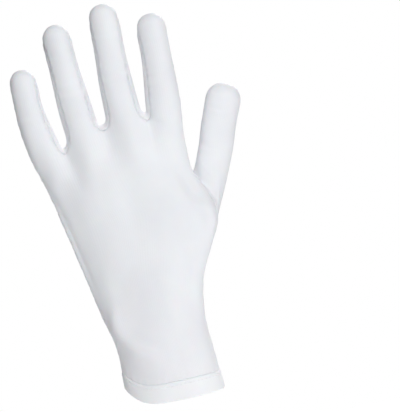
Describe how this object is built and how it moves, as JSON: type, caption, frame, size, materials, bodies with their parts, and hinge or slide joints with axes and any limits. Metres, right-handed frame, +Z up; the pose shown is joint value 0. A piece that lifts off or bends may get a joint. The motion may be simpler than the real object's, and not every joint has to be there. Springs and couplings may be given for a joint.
{
  "type": "nylon glove",
  "caption": "White nylon dress glove for the left hand, in its worn form: fingers and thumb open and hollow, sewn from knit panels, with a turned hem at the wrist.",
  "frame": {"origin": "centre of the wrist opening, where the glove sits on the wrist", "axes": "+Z up the hand to the fingertips, -Y the back of the hand, +X the thumb side"},
  "size_m": [0.1377, 0.0528, 0.2466],
  "materials": {
    "back_panel": "matt white nylon tricot, fine wales up the hand",
    "palm_panel": "matt white nylon tricot, fine wales up the hand",
    "fourchette_little_ring": "matt white nylon tricot, strips between fingers",
    "fourchette_ring_middle": "matt white nylon tricot, strips between fingers",
    "fourchette_middle_index": "matt white nylon tricot, strips between fingers",
    "thumb": "matt white nylon tricot, fine wales along the thumb",
    "cuff_hem": "white nylon tricot turned in and stitched, a little thicker"
  },
  "bodies": {
    "root": {"back_panel": "back_panel", "palm_panel": "palm_panel", "fourchette_little_ring": "fourchette_little_ring", "fourchette_ring_middle": "fourchette_ring_middle", "fourchette_middle_index": "fourchette_middle_index", "thumb": "thumb", "cuff_hem": "cuff_hem"}
  },
  "joints": []
}
